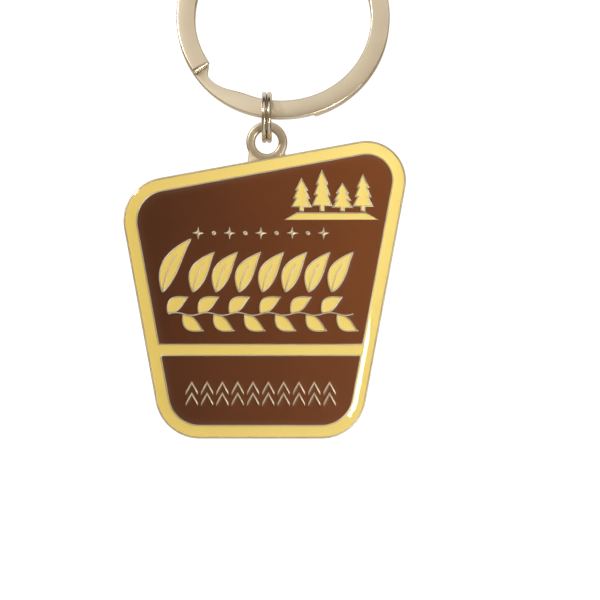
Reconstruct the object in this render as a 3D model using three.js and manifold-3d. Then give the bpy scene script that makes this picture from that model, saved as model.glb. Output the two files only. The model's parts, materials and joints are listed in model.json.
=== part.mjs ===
// Enamelled souvenir keychain: a flat split key ring, a small double link and a sign-shaped badge
// whose metal cells are filled with coloured enamel under a clear resin dome.
// Millimetres, +Z up, -Y is the front. The origin is the point inside the key ring where it hangs.
import * as THREE from "three";
import { mergeVertices } from "three/addons/utils/BufferGeometryUtils.js";
import Module from "manifold-3d";

const wasm = await Module();
wasm.setup();

const DEGREE = Math.PI / 180;

// ---- Driving dimensions -----------------------------------------------------------------------

// Key ring: one flat strip wound into two turns that lie face to face.
const KEY_RING_OD = 32;
const STRIP_WIDTH = 2.8;
const STRIP_THICKNESS = 0.97;
const STRIP_CHAMFER = 0.25;
const TURN_GAP = 0.06;
const RING_TILT = 12 * DEGREE; // the foot of the ring comes forward
const RING_SHIFT = 2.4; // the ring's centre lies to the right of the hanging line
const CROSSOVER = [216 * DEGREE, 284 * DEGREE]; // where the strip steps from the back turn to the front
const FRONT_END_LAP = 1.6 * DEGREE;
const BACK_END_LAP = 3 * DEGREE;
const NECK_DEPTH = 1.3; // the strip is narrower where the step starts
const NECK_RAMP = 8 * DEGREE; // it narrows over this angle, half of it before the step
const NECK_REST = 2 * DEGREE; // length of the narrowest part
const NECK_EASE = 24 * DEGREE; // it widens again over this angle

// Link: round wire wound twice, through the key ring and the badge's eyelet.
const LINK_WIRE = 0.7;
const WIRE_GAP = 0.05;
const LINK_CROSSOVER = [70 * DEGREE, 110 * DEGREE];
const LINK_END_LAP = 8 * DEGREE;
const SEAT_PLAY = 0.23; // between the strip's corner and the link above it
const LINK_SLACK = 0.1; // free space between the strip and the eyelet inside the link
const EYELET_PLAY = 1.13; // between the link's wire and the top of the eyelet's hole

// Badge: a plate with four corners that would be sharp at these places.
const BADGE_FOOT = 29.2;
const BADGE_LEFT_HEIGHT = 37.6;
const BADGE_RIGHT_HEIGHT = 45.7;
const LEFT_FLARE = 6.85;
const RIGHT_FLARE = 8.46;
const CORNER_RADII = [6.7, 6.7, 5.9, 6.5]; // foot left, foot right, top right, top left
const PLATE_THICKNESS = 2;
const CELL_DEPTH = 0.55;
const RIM = 0.3;
const BAND = 1.6;
const RIDGE = 0.2;
const DIVIDER_HEIGHT = 13.2; // centre of the cross band above the foot
const DIVIDER_BAND = 1.45;

// Eyelet on the badge's top edge.
const EYELET_HOLE = 3.5;
const EYELET_WALL = 1.3;
const EYELET_THICKNESS = 1.6;
const EYELET_CHAMFER = 0.2;
const EYELET_RISE = 2.4; // hole centre above the top edge
const EYELET_FOOT = 2.9; // half the width of its root on the edge

// Enamel and resin.
const FIT = 0.02; // enamel to its cell, and resin to the plate
const ENAMEL_DROP = 0.05; // enamel below the ridge tops
const DOME_HEIGHT = 0.9;
const DOME_INSET = 0.15;
const DOME_ROLL = 3; // width of the dome's rounded shoulder

// Ornament, placed within the two coloured fields.
const LEAVES = 8;
const LEAF_WIDTH = 0.66; // share of the spacing
const LEAF_LEAN = 62 * DEGREE;
const LEAF_BEND = 0.09;
const LEAF_SWELL = 0.8; // below 1 a leaf is widest nearer to its foot
const FIRST_LEAF = 1.36; // the first leaf is larger than the others
const LEAF_ROW = [0.31, 0.53]; // low and high, as shares of the field's height
const LEAF_MARGIN = 3;
const VEIN_HALF_WIDTH = 0.1;
const VEIN_SPAN = [-0.1, 0.7]; // shares of the leaf's length
const SMALL_LEAVES = 12;
const SMALL_LEAF_LEAN = 38 * DEGREE;
const SMALL_LEAF_WIDTH = 0.5; // share of its length
const SMALL_ROW = [0.08, 0.27];
const SMALL_MARGIN = 1.7;
const STEM = 0.11; // half width
const STEM_WAVE = 0.2;
const SPARKLES = 9;
const SPARKLE_ROW = [0.61, 0.69];
const SPARKLE_SPAN = 0.52; // share of the field's width
const SPARKLE_WIDTH = 0.8; // share of the spacing
const SPARKLE_WAIST = 0.3;
const DOT_SIZE = 1 / 3; // share of a sparkle's height
const CONIFERS = [0.78, 1, 0.66, 0.88]; // heights as shares of the tallest
const CONIFER_WIDTH = 0.84; // share of the spacing
const CONIFER_PROFILE = [ // across and up from the middle of the foot, as shares of width and height
  [0.07, 0], [0.07, 0.14], [0.5, 0.14], [0.22, 0.42], [0.39, 0.42], [0.15, 0.7], [0.27, 0.7],
];
const CONIFER_ROW = [0.785, 1.01];
const CONIFER_SPAN = [0.62, 0.945]; // shares of the field's width
const GROUND_ROW = [0.73, 0.765];
const GROUND_SPAN = [0.6, 0.968];
const GROUND_BANK = 1 / 8; // length of each sloping end, as a share of the whole
const CHEVRONS = 10;
const CHEVRON_WIDTH = 0.8; // share of the spacing
const CHEVRON_ROWS = [0.27, 0.43]; // feet, as shares of the lower field's height
const CHEVRON_RISE = 0.16;
const CHEVRON_STROKE = 0.5;
const CHEVRON_MARGIN = 2;

// Facets.
const ARC_STEPS = 6;
const RING_STEP = 6 * DEGREE;
const LINK_STEP = 12 * DEGREE;
const WIRE_SIDES = 10;
const EYELET_SIDES = 32;
const LEAF_STEPS = 6;
const VEIN_STEPS = 3;
const MITRE_LIMIT = 0.35;

// ---- Sizes that follow ------------------------------------------------------------------------

const stripRadius = (KEY_RING_OD - STRIP_WIDTH) / 2;
const innerRise = Math.sqrt((stripRadius - STRIP_WIDTH / 2) ** 2 - RING_SHIFT ** 2);
const stripDrop = Math.sqrt(stripRadius ** 2 - RING_SHIFT ** 2);
const turnPitch = STRIP_THICKNESS + TURN_GAP;
const stripReach = Math.hypot(STRIP_WIDTH / 2, turnPitch / 2 + STRIP_THICKNESS / 2);
const linkSeat = stripReach + SEAT_PLAY;
const linkInner = (linkSeat + stripReach + LINK_SLACK + EYELET_WALL + EYELET_PLAY) / 2;
const wirePitch = LINK_WIRE + WIRE_GAP;
const holeRadius = EYELET_HOLE / 2;
const fieldInset = RIM + BAND + RIDGE;
const dividerHalf = DIVIDER_BAND / 2 + RIDGE;
const cellFloor = PLATE_THICKNESS - CELL_DEPTH;
const enamelTop = PLATE_THICKNESS - ENAMEL_DROP;
const plateMiddle = PLATE_THICKNESS / 2;

const footLeft = new THREE.Vector2(-BADGE_FOOT / 2, 0);
const footRight = new THREE.Vector2(BADGE_FOOT / 2, 0);
const topRight = new THREE.Vector2(BADGE_FOOT / 2 + RIGHT_FLARE, BADGE_RIGHT_HEIGHT);
const topLeft = new THREE.Vector2(-BADGE_FOOT / 2 - LEFT_FLARE, BADGE_LEFT_HEIGHT);
const badgeCorners = [footLeft, footRight, topRight, topLeft];

// ---- Materials --------------------------------------------------------------------------------

const nickel = new THREE.MeshStandardMaterial({ color: 0xccbb9f, roughness: 0.25, metalness: 1 });
const yellowEnamel = new THREE.MeshStandardMaterial({ color: 0xe8d077, roughness: 0.3 });
const brownEnamel = new THREE.MeshStandardMaterial({ color: 0x5e3520, roughness: 0.3 });
const clearResin = new THREE.MeshStandardMaterial({ color: 0xffffff, roughness: 0.05,
  transparent: true, opacity: 0.15 });

// ---- Solids -----------------------------------------------------------------------------------

function solid(geometry) {
  const bare = geometry.clone();
  bare.deleteAttribute("normal");
  bare.deleteAttribute("uv");
  const merged = mergeVertices(bare);
  return new wasm.Manifold(new wasm.Mesh({
    numProp: 3,
    vertProperties: new Float32Array(merged.attributes.position.array),
    triVerts: new Uint32Array(merged.index.array),
  }));
}

function piece(name, body, material) {
  const { vertProperties, triVerts } = body.getMesh();
  const geometry = new THREE.BufferGeometry();
  geometry.setAttribute("position", new THREE.BufferAttribute(vertProperties, 3));
  geometry.setIndex(new THREE.BufferAttribute(triVerts, 1));
  geometry.computeVertexNormals();
  const mesh = new THREE.Mesh(geometry, material);
  mesh.name = name;
  return mesh;
}

function prism(outline, low, high) {
  const geometry = new THREE.ExtrudeGeometry(new THREE.Shape(outline), {
    depth: high - low,
    bevelEnabled: false,
  });
  return solid(geometry.translate(0, 0, low));
}

// ---- Outlines, all drawn anticlockwise --------------------------------------------------------

function outwardNormal(from, to) {
  const along = new THREE.Vector2().subVectors(to, from).normalize();
  return new THREE.Vector2(along.y, -along.x);
}

// Moves every side of an outline out by a distance, with mitred corners.
function grow(outline, distance) {
  return outline.map((corner, i) => {
    const next = outline[(i + 1) % outline.length];
    const normalIn = outwardNormal(outline.at(i - 1), corner);
    const normalOut = outwardNormal(corner, next);
    const mitre = Math.max(1 + normalIn.dot(normalOut), MITRE_LIMIT);
    return corner.clone().addScaledVector(normalIn.add(normalOut), distance / mitre);
  });
}

// Moves side i of a convex outline in by insets[i]; side i runs from corner i to the next.
function insetCorners(corners, insets) {
  return corners.map((corner, i) => {
    const previous = (i + corners.length - 1) % corners.length;
    const normalIn = outwardNormal(corners[previous], corner);
    const normalOut = outwardNormal(corner, corners[(i + 1) % corners.length]);
    const across = normalIn.cross(normalOut);
    const moved = corner.clone();
    moved.x -= (insets[previous] * normalOut.y - insets[i] * normalIn.y) / across;
    moved.y -= (insets[i] * normalIn.x - insets[previous] * normalOut.x) / across;
    return moved;
  });
}

// A convex outline whose corner i is an arc of radii[i].
function roundCorners(corners, radii) {
  return corners.flatMap((corner, i) => {
    const radius = radii[i];
    if (radius <= 0) return [corner];
    const normalIn = outwardNormal(corners.at(i - 1), corner);
    const normalOut = outwardNormal(corner, corners[(i + 1) % corners.length]);
    const turn = Math.acos(normalIn.dot(normalOut));
    const start = normalIn.angle();
    const centre = corner.clone()
      .addScaledVector(normalIn.add(normalOut), -radius / (1 + Math.cos(turn)));
    return Array.from({ length: ARC_STEPS + 1 }, (_, step) => {
      const angle = start + (turn * step) / ARC_STEPS;
      return new THREE.Vector2(Math.cos(angle), Math.sin(angle)).multiplyScalar(radius).add(centre);
    });
  });
}

function badgeOutline(inset) {
  const corners = insetCorners(badgeCorners, badgeCorners.map(() => inset));
  return roundCorners(corners, CORNER_RADII.map((radius) => radius - inset));
}

function alongSide(low, high, height) {
  return low.clone().lerp(high, height / high.y);
}

// The upper and lower fields end in sharp corners at the divider.
function upperField(inset) {
  const side = fieldInset + inset;
  const corners = insetCorners([
    alongSide(footLeft, topLeft, DIVIDER_HEIGHT),
    alongSide(footRight, topRight, DIVIDER_HEIGHT),
    topRight,
    topLeft,
  ], [dividerHalf + inset, side, side, side]);
  return roundCorners(corners, [0, 0, CORNER_RADII[2] - side, CORNER_RADII[3] - side]);
}

function lowerField(inset) {
  const side = fieldInset + inset;
  const corners = insetCorners([
    footLeft,
    footRight,
    alongSide(footRight, topRight, DIVIDER_HEIGHT),
    alongSide(footLeft, topLeft, DIVIDER_HEIGHT),
  ], [side, side, dividerHalf + inset, side]);
  return roundCorners(corners, [CORNER_RADII[0] - side, CORNER_RADII[1] - side, 0, 0]);
}

// ---- Places in the fields ---------------------------------------------------------------------

const sideLean = Math.hypot(1, RIGHT_FLARE / BADGE_RIGHT_HEIGHT);
const topSlope = (topRight.y - topLeft.y) / (topRight.x - topLeft.x);
const upperLow = DIVIDER_HEIGHT + dividerHalf;
const upperHigh = topLeft.y - topSlope * topLeft.x - fieldInset * Math.hypot(1, topSlope);
const lowerHigh = DIVIDER_HEIGHT - dividerHalf;

function fieldHeight(share) {
  return upperLow + share * (upperHigh - upperLow);
}

function lowerFieldHeight(share) {
  return fieldInset + share * (lowerHigh - fieldInset);
}

// The field's left and right sides at a height, each brought in by a margin.
function fieldSides(height, margin) {
  const inset = fieldInset * sideLean + margin;
  const left = alongSide(footLeft, topLeft, height).x + inset;
  const right = alongSide(footRight, topRight, height).x - inset;
  return [left, right];
}

// ---- Ornament ---------------------------------------------------------------------------------

// A leaf's spine bows to its left as it rises from foot to tip.
function leafPoint({ foot, length, lean, bow }, share, side) {
  const along = new THREE.Vector2(Math.cos(lean), Math.sin(lean));
  const across = new THREE.Vector2(-along.y, along.x);
  return foot.clone()
    .addScaledVector(along, length * share)
    .addScaledVector(across, side + bow * length * 4 * share * (1 - share));
}

function leafOutline(leaf) {
  const shares = Array.from({ length: LEAF_STEPS }, (_, i) => (i + 1) / (LEAF_STEPS + 1));
  const halfWidth = (share) => (leaf.width / 2) * Math.sin(Math.PI * share ** LEAF_SWELL);
  const right = shares.map((share) => leafPoint(leaf, share, -halfWidth(share)));
  const left = shares.map((share) => leafPoint(leaf, share, halfWidth(share))).reverse();
  return [leafPoint(leaf, 0, 0), ...right, leafPoint(leaf, 1, 0), ...left];
}

function veinOutline(leaf) {
  const [start, end] = VEIN_SPAN;
  const shares = Array.from({ length: VEIN_STEPS }, (_, i) => start + (i * (end - start)) / VEIN_STEPS);
  const right = shares.map((share) => leafPoint(leaf, share, -VEIN_HALF_WIDTH));
  const left = shares.map((share) => leafPoint(leaf, share, VEIN_HALF_WIDTH)).reverse();
  return [...right, leafPoint(leaf, end, 0), ...left];
}

function leafRow() {
  const [low, high] = LEAF_ROW.map(fieldHeight);
  const [left, right] = fieldSides(low, LEAF_MARGIN);
  const rise = high - low;
  const run = rise / Math.tan(LEAF_LEAN);
  const pitch = (right - left - run) / (LEAVES - 1);
  return Array.from({ length: LEAVES }, (_, i) => {
    const size = i === 0 ? FIRST_LEAF : 1;
    return {
      foot: new THREE.Vector2(left + i * pitch - (size - 1) * run, low),
      length: (size * rise) / Math.sin(LEAF_LEAN),
      width: LEAF_WIDTH * pitch,
      lean: LEAF_LEAN,
      bow: LEAF_BEND,
    };
  });
}

const [smallLow, smallHigh] = SMALL_ROW.map(fieldHeight);
const stemHeight = (smallLow + smallHigh) / 2;
const [stemLeft, stemRight] = fieldSides(smallLow, SMALL_MARGIN);
const smallPitch = (stemRight - stemLeft) / SMALL_LEAVES;

function stemWave(x) {
  return stemHeight + STEM_WAVE * Math.sin((Math.PI * (x - stemLeft)) / smallPitch);
}

// Leaves stand above and below the stem by turns.
function smallLeafRow() {
  const clear = STEM + STEM_WAVE;
  const rise = (smallHigh - smallLow) / 2 - clear;
  const length = rise / Math.sin(SMALL_LEAF_LEAN);
  return Array.from({ length: SMALL_LEAVES }, (_, i) => {
    const side = i % 2 ? -1 : 1;
    const x = stemLeft + i * smallPitch;
    return {
      foot: new THREE.Vector2(x, stemHeight + side * clear),
      length,
      width: SMALL_LEAF_WIDTH * length,
      lean: side * SMALL_LEAF_LEAN,
      bow: side * LEAF_BEND,
    };
  });
}

function stemOutline() {
  const steps = 2 * SMALL_LEAVES;
  const xs = Array.from({ length: steps + 1 }, (_, i) => stemLeft + (i * (stemRight - stemLeft)) / steps);
  const lower = xs.map((x) => new THREE.Vector2(x, stemWave(x) - STEM));
  const upper = xs.map((x) => new THREE.Vector2(x, stemWave(x) + STEM)).reverse();
  return [...lower, ...upper];
}

function coniferOutline(x, base, height, width) {
  const point = (side) => ([across, up]) =>
    new THREE.Vector2(x + side * across * width, base + up * height);
  const right = CONIFER_PROFILE.map(point(1));
  const left = CONIFER_PROFILE.map(point(-1)).reverse();
  return [...right, point(1)([0, 1]), ...left];
}

function coniferRow() {
  const [base, top] = CONIFER_ROW.map(fieldHeight);
  const [left, right] = fieldSides(base, 0);
  const [from, to] = CONIFER_SPAN.map((share) => left + share * (right - left));
  const pitch = (to - from) / CONIFERS.length;
  const width = CONIFER_WIDTH * pitch;
  return CONIFERS.map((share, i) =>
    coniferOutline(from + (i + 0.5) * pitch, base, share * (top - base), width));
}

// A low strip of ground with pointed ends.
function groundOutline() {
  const [low, high] = GROUND_ROW.map(fieldHeight);
  const [left, right] = fieldSides(low, 0);
  const [from, to] = GROUND_SPAN.map((share) => left + share * (right - left));
  const bank = GROUND_BANK * (to - from);
  return [[from, low], [to, low], [to - bank, high], [from + bank, high]]
    .map(([x, y]) => new THREE.Vector2(x, y));
}

function starOutline(centre, halfWidth, halfHeight, waist, points) {
  return Array.from({ length: 2 * points }, (_, i) => {
    const angle = (Math.PI * i) / points;
    const reach = i % 2 ? waist : 1;
    return new THREE.Vector2(
      centre.x + halfWidth * reach * Math.cos(angle),
      centre.y + halfHeight * reach * Math.sin(angle));
  });
}

// Four-pointed sparkles and round dots by turns.
function sparkleRow() {
  const [low, high] = SPARKLE_ROW.map(fieldHeight);
  const [left, right] = fieldSides(low, 0);
  const pitch = (SPARKLE_SPAN * (right - left)) / (SPARKLES - 1);
  const halfWidth = (SPARKLE_WIDTH * pitch) / 2;
  const halfHeight = (high - low) / 2;
  const dot = DOT_SIZE * halfHeight;
  return Array.from({ length: SPARKLES }, (_, i) => {
    const x = (left + right) / 2 + (i - (SPARKLES - 1) / 2) * pitch;
    const centre = new THREE.Vector2(x, (low + high) / 2);
    return i % 2
      ? starOutline(centre, dot, dot, 1, 4)
      : starOutline(centre, halfWidth, halfHeight, SPARKLE_WAIST, 4);
  });
}

function chevronOutline(x, foot, width, rise) {
  const half = width / 2;
  const stroke = CHEVRON_STROKE;
  return [
    [-half, 0], [0, rise], [half, 0], [half, stroke], [0, rise + stroke], [-half, stroke],
  ].map(([across, up]) => new THREE.Vector2(x + across, foot + up));
}

function chevronRows() {
  const rise = lowerFieldHeight(CHEVRON_RISE) - lowerFieldHeight(0);
  const [left, right] = fieldSides(lowerFieldHeight(CHEVRON_ROWS[0]), CHEVRON_MARGIN);
  const pitch = (right - left) / CHEVRONS;
  const width = CHEVRON_WIDTH * pitch;
  return CHEVRON_ROWS.flatMap((share) => Array.from({ length: CHEVRONS }, (_, i) =>
    chevronOutline(left + (i + 0.5) * pitch, lowerFieldHeight(share), width, rise)));
}

// ---- Key ring and link ------------------------------------------------------------------------

function smoothStep(value, from, to) {
  return THREE.MathUtils.smoothstep(value, from, to);
}

// Bends a straight bar of the given section into two turns about Z. The bar starts at one end lap,
// and place() moves each point of it once its turn angle is known.
function windTwice(section, radius, crossover, startLap, endLap, step, pitch, narrow) {
  const start = crossover[1] + startLap - 2 * Math.PI;
  const end = crossover[0] - endLap + 2 * Math.PI;
  const bar = new THREE.ExtrudeGeometry(section, {
    depth: end - start,
    steps: Math.round((end - start) / step),
    curveSegments: WIRE_SIDES,
    bevelEnabled: false,
  });
  const position = bar.attributes.position;
  for (let i = 0; i < position.count; i += 1) {
    const angle = start + position.getZ(i);
    const reach = radius + narrow(position.getX(i), angle);
    const turn = pitch * (smoothStep(angle, ...crossover) - 0.5);
    position.setXYZ(i, reach * Math.cos(angle), reach * Math.sin(angle), turn - position.getY(i));
  }
  return solid(bar);
}

function stripSection() {
  const width = STRIP_WIDTH / 2;
  const thickness = STRIP_THICKNESS / 2;
  const c = STRIP_CHAMFER;
  return new THREE.Shape([
    [width, c - thickness], [width, thickness - c], [width - c, thickness], [c - width, thickness],
    [-width, thickness - c], [-width, c - thickness], [c - width, -thickness], [width - c, -thickness],
  ].map(([x, y]) => new THREE.Vector2(x, y)));
}

// The strip's inner edge steps out where the crossover starts, and eases back along it.
function neck(across, angle) {
  const narrowest = CROSSOVER[0] + NECK_RAMP / 2;
  const rest = narrowest + NECK_REST;
  const narrowed = smoothStep(angle, narrowest - NECK_RAMP, narrowest);
  const widened = smoothStep(angle, rest, rest + NECK_EASE);
  const depth = narrowed - widened;
  const innerShare = 0.5 - across / STRIP_WIDTH;
  return across + NECK_DEPTH * depth * innerShare;
}

function makeKeyRing() {
  const body = windTwice(stripSection(), stripRadius, CROSSOVER, BACK_END_LAP, FRONT_END_LAP,
    RING_STEP, turnPitch, neck);
  return piece("key_ring", body, nickel);
}

function makeLinkRing() {
  const wire = new THREE.Shape(Array.from({ length: WIRE_SIDES }, (_, i) => {
    const angle = (2 * Math.PI * i) / WIRE_SIDES;
    return new THREE.Vector2(Math.cos(angle), Math.sin(angle)).multiplyScalar(LINK_WIRE / 2);
  }));
  const body = windTwice(wire, linkInner + LINK_WIRE / 2, LINK_CROSSOVER, LINK_END_LAP, LINK_END_LAP,
    LINK_STEP, wirePitch, (across) => across);
  return piece("link_ring", body, nickel);
}

// ---- Badge ------------------------------------------------------------------------------------

// The eyelet stands over the badge's centre of area, so the badge hangs level.
function areaCentre(corners) {
  let area = 0;
  let moment = 0;
  corners.forEach((corner, i) => {
    const next = corners[(i + 1) % corners.length];
    const part = corner.cross(next);
    area += part;
    moment += (part * (corner.x + next.x)) / 3;
  });
  return moment / area;
}

const eyeletX = areaCentre(badgeCorners);
const edgeUnderEyelet = topLeft.y + topSlope * (eyeletX - topLeft.x);
const eyeletCentre = new THREE.Vector2(eyeletX, edgeUnderEyelet + EYELET_RISE);

function eyeletRing() {
  const outer = holeRadius + EYELET_WALL;
  const half = EYELET_THICKNESS / 2;
  const c = EYELET_CHAMFER;
  const profile = [
    [holeRadius, c - half], [holeRadius + c, -half], [outer - c, -half], [outer, c - half],
    [outer, half - c], [outer - c, half], [holeRadius + c, half], [holeRadius, half - c],
    [holeRadius, c - half],
  ].map(([x, y]) => new THREE.Vector2(x, y));
  const ring = new THREE.LatheGeometry(profile, EYELET_SIDES);
  return solid(ring.rotateX(Math.PI / 2).translate(eyeletCentre.x, eyeletCentre.y, plateMiddle));
}

// Root of the eyelet, from the sides of its ring down into the plate's edge.
function eyeletRoot() {
  const low = edgeUnderEyelet - RIM;
  const tilt = topSlope * EYELET_FOOT;
  const waist = holeRadius + EYELET_WALL / 2;
  const outline = [
    [-EYELET_FOOT, low - tilt], [EYELET_FOOT, low + tilt],
    [waist, eyeletCentre.y - holeRadius / 2], [-waist, eyeletCentre.y - holeRadius / 2],
  ].map(([x, y]) => new THREE.Vector2(eyeletCentre.x + x, y));
  const half = EYELET_THICKNESS / 2 - EYELET_CHAMFER;
  return prism(outline, plateMiddle - half, plateMiddle + half);
}

function eyeletBore() {
  const bore = new THREE.CylinderGeometry(holeRadius, holeRadius, 2 * PLATE_THICKNESS, EYELET_SIDES);
  return solid(bore.rotateX(Math.PI / 2).translate(eyeletCentre.x, eyeletCentre.y, plateMiddle));
}

function cutAll(body, outlines, low, high) {
  return outlines.reduce((rest, outline) => rest.subtract(prism(outline, low, high)), body);
}

const leaves = leafRow();
const veined = leaves.map((leaf) => ({ outline: leafOutline(leaf), vein: veinOutline(leaf) }));
const plain = [...smallLeafRow().map(leafOutline), ...coniferRow(), groundOutline()]
  .map((outline) => ({ outline }));
const motifs = [...veined, ...plain];
const upperMarks = [stemOutline(), ...sparkleRow()];
const lowerMarks = chevronRows();

// Each space in the plate's front: grown by nothing it is the cell, and drawn in by the fit it is
// the enamel that fills the cell.
function borderSpace(inset, low, high) {
  return prism(badgeOutline(RIM + inset), low, high)
    .subtract(prism(upperField(-RIDGE - inset), low, high))
    .subtract(prism(lowerField(-RIDGE - inset), low, high));
}

function upperSpace(inset, low, high) {
  const islands = [...motifs.map(({ outline }) => grow(outline, RIDGE + inset)),
    ...upperMarks.map((mark) => grow(mark, inset))];
  return cutAll(prism(upperField(inset), low, high), islands, low, high);
}

function lowerSpace(inset, low, high) {
  const islands = lowerMarks.map((mark) => grow(mark, inset));
  return cutAll(prism(lowerField(inset), low, high), islands, low, high);
}

function motifSpace({ outline, vein }, inset, low, high) {
  const space = prism(grow(outline, -inset), low, high);
  return vein ? space.subtract(prism(grow(vein, inset), low, high)) : space;
}

function makePlate() {
  const high = 2 * PLATE_THICKNESS;
  const spaces = [borderSpace, upperSpace, lowerSpace].map((space) => space(0, cellFloor, high));
  spaces.push(...motifs.map((motif) => motifSpace(motif, 0, cellFloor, high)));
  const blank = prism(badgeOutline(0), 0, PLATE_THICKNESS).add(eyeletRing()).add(eyeletRoot());
  const body = spaces.reduce((rest, space) => rest.subtract(space), blank.subtract(eyeletBore()));
  return piece("badge_plate", body, nickel);
}

function makeEnamel(name, space, material) {
  return piece(name, space(FIT, cellFloor + FIT, enamelTop), material);
}

// The dome is a rounded lens of the badge's outline, cut flat where it meets the ridge tops.
function makeDome() {
  const core = badgeOutline(DOME_INSET + DOME_ROLL);
  const geometry = new THREE.ExtrudeGeometry(new THREE.Shape(core), {
    depth: FIT,
    bevelThickness: DOME_HEIGHT,
    bevelSize: DOME_ROLL,
    bevelSegments: 4,
  });
  const lens = solid(geometry.translate(0, 0, PLATE_THICKNESS));
  const width = 2 * (topRight.x - topLeft.x);
  const below = new THREE.BoxGeometry(width, 2 * topRight.y, width);
  const cutLevel = PLATE_THICKNESS + FIT;
  return piece("resin_dome", lens.subtract(solid(below.translate(0, 0, cutLevel - width / 2))),
    clearResin);
}

function numbered(name, group) {
  return group.map((motif, i) =>
    makeEnamel(`${name}_${i + 1}`, (...span) => motifSpace(motif, ...span), yellowEnamel));
}

// ---- Assembly ---------------------------------------------------------------------------------

// The ring's plane leans back by the tilt; the origin is on its inner face at the top.
function placeKeyRing() {
  const holder = new THREE.Group();
  holder.rotation.x = Math.PI / 2 - RING_TILT;
  holder.position.set(RING_SHIFT, -innerRise * Math.sin(RING_TILT), -innerRise * Math.cos(RING_TILT));
  holder.add(makeKeyRing());
  return holder;
}

// The middle of the strip where the link hangs on it, straight below the origin's line.
function linkHanger() {
  const drop = innerRise + stripDrop;
  return new THREE.Vector3(0, -drop * Math.sin(RING_TILT), -drop * Math.cos(RING_TILT));
}

function placeLink(hanger) {
  const holder = new THREE.Group();
  holder.rotation.y = Math.PI / 2;
  holder.position.set(hanger.x, hanger.y, hanger.z + linkSeat - linkInner);
  holder.add(makeLinkRing());
  return holder;
}

function placeBadge(hanger) {
  const holder = new THREE.Group();
  const holeHeight = hanger.z + linkSeat - 2 * linkInner + EYELET_PLAY - holeRadius;
  holder.rotation.x = Math.PI / 2;
  holder.position.set(-eyeletCentre.x, hanger.y + plateMiddle, holeHeight - eyeletCentre.y);
  holder.add(
    makePlate(),
    makeEnamel("border_enamel", borderSpace, yellowEnamel),
    makeEnamel("upper_field_enamel", upperSpace, brownEnamel),
    makeEnamel("lower_field_enamel", lowerSpace, brownEnamel),
    ...numbered("leaf_enamel", motifs.slice(0, LEAVES)),
    ...numbered("vine_leaf_enamel", motifs.slice(LEAVES, LEAVES + SMALL_LEAVES)),
    ...numbered("conifer_enamel", motifs.slice(LEAVES + SMALL_LEAVES, -1)),
    makeEnamel("ground_enamel", (...span) => motifSpace(motifs.at(-1), ...span), yellowEnamel),
    makeDome(),
  );
  return holder;
}

const keychain = new THREE.Group();
const hanger = linkHanger();
keychain.add(placeKeyRing(), placeLink(hanger), placeBadge(hanger));

export default keychain;
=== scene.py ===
# %% [markdown]
# # An enamelled keychain, piece by piece
# The real thing is a die-struck badge whose sunk cells are filled with coloured enamel and covered by
# a poured resin dome. It hangs by a small double link from a flat split key ring. The CAD frame gives
# every piece its place and its joint; here each one gets its true surface, from the metal outwards.

# %% Load the frame
import json
import math

import bpy
import numpy as np
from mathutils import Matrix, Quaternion, Vector
from mathutils.geometry import delaunay_2d_cdt


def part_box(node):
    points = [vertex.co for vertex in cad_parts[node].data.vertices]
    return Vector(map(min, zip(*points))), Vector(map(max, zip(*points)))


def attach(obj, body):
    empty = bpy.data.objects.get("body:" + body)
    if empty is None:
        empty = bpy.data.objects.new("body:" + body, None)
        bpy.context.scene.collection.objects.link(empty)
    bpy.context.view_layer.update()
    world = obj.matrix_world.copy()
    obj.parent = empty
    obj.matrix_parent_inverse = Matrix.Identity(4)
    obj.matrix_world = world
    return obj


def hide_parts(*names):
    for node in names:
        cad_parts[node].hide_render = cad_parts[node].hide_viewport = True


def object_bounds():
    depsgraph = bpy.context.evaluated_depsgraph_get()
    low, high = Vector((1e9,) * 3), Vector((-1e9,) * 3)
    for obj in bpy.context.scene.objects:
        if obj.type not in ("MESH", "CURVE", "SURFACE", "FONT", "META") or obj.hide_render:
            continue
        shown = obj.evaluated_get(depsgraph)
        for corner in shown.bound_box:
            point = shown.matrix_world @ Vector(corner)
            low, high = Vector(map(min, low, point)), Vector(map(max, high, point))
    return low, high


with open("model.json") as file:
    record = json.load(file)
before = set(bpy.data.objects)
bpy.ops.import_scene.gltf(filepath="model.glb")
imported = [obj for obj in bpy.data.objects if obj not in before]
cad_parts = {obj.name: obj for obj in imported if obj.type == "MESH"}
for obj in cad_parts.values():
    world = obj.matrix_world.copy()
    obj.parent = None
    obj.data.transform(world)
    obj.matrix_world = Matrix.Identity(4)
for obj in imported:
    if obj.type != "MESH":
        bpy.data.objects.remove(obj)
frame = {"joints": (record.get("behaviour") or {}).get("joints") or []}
cad_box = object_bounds()
joints = {joint["name"]: joint for joint in frame["joints"]}

# %% [markdown]
# ## Two places to measure from
# The link turns about the middle of the key ring's strip, and the badge turns about the middle of its
# eyelet's hole. A maker would mark these two points first, so they come straight from the joints.
# Shapes are drawn in millimetres, because that is how such small parts are read off a ruler.

# %% The two hanging points
MILLIMETRE = 0.001
strip_middle = np.array(joints["link_swing"]["pos_m"]) / MILLIMETRE
hole_middle = np.array(joints["badge_swing"]["pos_m"]) / MILLIMETRE
print("strip middle", strip_middle.round(2), "hole middle", hole_middle.round(2), "mm")

# %% [markdown]
# ## A loft for everything that has a section
# Wire, strip, rims and ridges are all one closed section carried along a path. Blender could sweep a
# bevelled curve, but the strip changes its width where it steps over, so the rows are laid one by one:
# each row of points is joined to the next by quads, which reflect light more evenly than triangles.

# %% Rows of points to a closed skin
def loft(rows, ring=False):
    """Joins equal rows of points, each a closed outline, and caps the two ends or joins them."""
    count = len(rows[0])
    points = np.concatenate(rows)
    spans = len(rows) if ring else len(rows) - 1
    faces = []
    for row in range(spans):
        low, high = row * count, (row + 1) % len(rows) * count
        for i in range(count):
            j = (i + 1) % count
            faces.append((low + i, low + j, high + j, high + i))
    if not ring:
        faces.append(tuple(range(count - 1, -1, -1)))
        faces.append(tuple(range(len(points) - count, len(points))))
    return points, faces


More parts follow.
